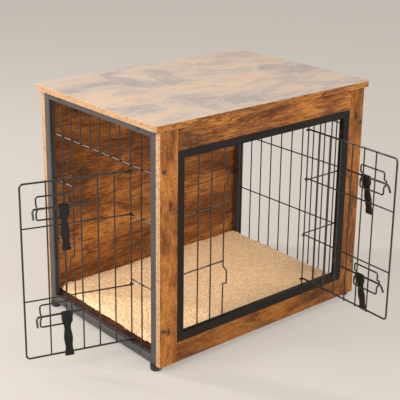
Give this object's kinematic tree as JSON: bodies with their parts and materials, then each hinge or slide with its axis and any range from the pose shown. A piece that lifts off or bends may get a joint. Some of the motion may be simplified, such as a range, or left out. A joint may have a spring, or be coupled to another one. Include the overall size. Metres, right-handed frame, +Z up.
{
  "type": "dog crate end table",
  "caption": "Dog crate end table with a wood top and back, black tube frames, wire mesh ends, and wire doors with slide-bolt latches over a plush floor mat.",
  "frame": {"origin": "on the floor, in the middle of the space that the crate takes up with both doors open", "axes": "+X along the long front towards the end without a door, +Y from the front into the depth, +Z up from the floor"},
  "size_m": [0.9167, 0.7651, 0.6],
  "materials": {
    "rustic_board": "matt rustic brown wood-grain laminate with dark streaks",
    "dowel_wood": "plain beech",
    "tube_paint": "satin black powder coat",
    "wire_paint": "semi-gloss black coat",
    "grip_plastic": "black moulded plastic",
    "foot_plastic": "black moulded plastic",
    "fastener_steel": "black oxide steel",
    "bracket_steel": "black coated sheet steel",
    "plush_mat": "beige curly plush"
  },
  "bodies": {
    "frame": {"back_bolts": "fastener_steel", "back_panel": "rustic_board", "floor_board": "rustic_board", "floor_brackets": "bracket_steel", "floor_mat": "plush_mat", "floor_screws": "fastener_steel", "foot_back_left": "foot_plastic", "foot_back_right": "foot_plastic", "foot_front_left": "foot_plastic", "foot_front_right": "foot_plastic", "front_bolts": "fastener_steel", "front_mesh_hinge_side": "wire_paint", "front_mesh_latch_side": "wire_paint", "front_rail_bottom": "rustic_board", "front_rail_top": "rustic_board", "front_stile_left": "rustic_board", "front_stile_right": "rustic_board", "inlay_post_left": "tube_paint", "inlay_post_right": "tube_paint", "inlay_rail_bottom": "tube_paint", "inlay_rail_top": "tube_paint", "inlay_screws": "fastener_steel", "left_back_post": "tube_paint", "left_bottom_rail": "tube_paint", "left_frame_screws": "fastener_steel", "left_front_post": "tube_paint", "left_mesh_hinge_side": "wire_paint", "left_mesh_latch_side": "wire_paint", "left_mesh_top_band": "wire_paint", "left_top_rail": "tube_paint", "rail_dowels": "dowel_wood", "right_back_post": "tube_paint", "right_bottom_rail": "tube_paint", "right_frame_screws": "fastener_steel", "right_front_post": "tube_paint", "right_mesh": "wire_paint", "right_top_rail": "tube_paint", "rivet_nuts": "fastener_steel", "table_top": "rustic_board", "top_brackets": "bracket_steel", "top_screws": "fastener_steel"},
    "left_door": {"left_door": "wire_paint", "left_upper_latch_loop": "wire_paint", "left_lower_latch_loop": "wire_paint"},
    "left_upper_bolt": {"left_upper_bolt_rod": "wire_paint"},
    "left_upper_turn": {"left_upper_bolt_hook": "wire_paint", "left_upper_grip": "grip_plastic"},
    "left_lower_bolt": {"left_lower_bolt_rod": "wire_paint"},
    "left_lower_turn": {"left_lower_bolt_hook": "wire_paint", "left_lower_grip": "grip_plastic"},
    "front_door": {"front_door": "wire_paint", "front_upper_latch_loop": "wire_paint", "front_lower_latch_loop": "wire_paint"},
    "front_upper_bolt": {"front_upper_bolt_rod": "wire_paint"},
    "front_upper_turn": {"front_upper_bolt_hook": "wire_paint", "front_upper_grip": "grip_plastic"},
    "front_lower_bolt": {"front_lower_bolt_rod": "wire_paint"},
    "front_lower_turn": {"front_lower_bolt_hook": "wire_paint", "front_lower_grip": "grip_plastic"}
  },
  "joints": [
    {"name": "left_door_hinge", "type": "hinge", "parent": "frame", "child": "left_door", "pos_m": [-0.21145, 0.01371, 0.2735], "axis": [0, 0, 1], "range_deg": [-73, 77]},
    {"name": "left_upper_bolt_slide", "type": "slide", "parent": "left_door", "child": "left_upper_bolt", "axis": [-0.9563, 0.2924, 0], "range_m": [0, 0.02]},
    {"name": "left_upper_grip_turn", "type": "hinge", "parent": "left_upper_bolt", "child": "left_upper_turn", "pos_m": [-0.3899, 0.06037, 0.404], "axis": [-0.9563, 0.2924, 0], "range_deg": [0, 150]},
    {"name": "left_lower_bolt_slide", "type": "slide", "parent": "left_door", "child": "left_lower_bolt", "axis": [-0.9563, 0.2924, 0], "range_m": [0, 0.02]},
    {"name": "left_lower_grip_turn", "type": "hinge", "parent": "left_lower_bolt", "child": "left_lower_turn", "pos_m": [-0.3899, 0.06037, 0.143], "axis": [-0.9563, 0.2924, 0], "range_deg": [0, 150]},
    {"name": "front_door_hinge", "type": "hinge", "parent": "frame", "child": "front_door", "pos_m": [0.25105, -0.0967, 0.3075], "axis": [0, 0, 1], "range_deg": [-87, 63]},
    {"name": "front_upper_bolt_slide", "type": "slide", "parent": "front_door", "child": "front_upper_bolt", "axis": [-0.0523, -0.9986, 0], "range_m": [0, 0.02]},
    {"name": "front_upper_grip_turn", "type": "hinge", "parent": "front_upper_bolt", "child": "front_upper_turn", "pos_m": [0.24744, -0.3098, 0.433], "axis": [-0.0523, -0.9986, 0], "range_deg": [0, 150]},
    {"name": "front_lower_bolt_slide", "type": "slide", "parent": "front_door", "child": "front_lower_bolt", "axis": [-0.0523, -0.9986, 0], "range_m": [0, 0.02]},
    {"name": "front_lower_grip_turn", "type": "hinge", "parent": "front_lower_bolt", "child": "front_lower_turn", "pos_m": [0.24744, -0.3098, 0.182], "axis": [-0.0523, -0.9986, 0], "range_deg": [0, 150]}
  ]
}
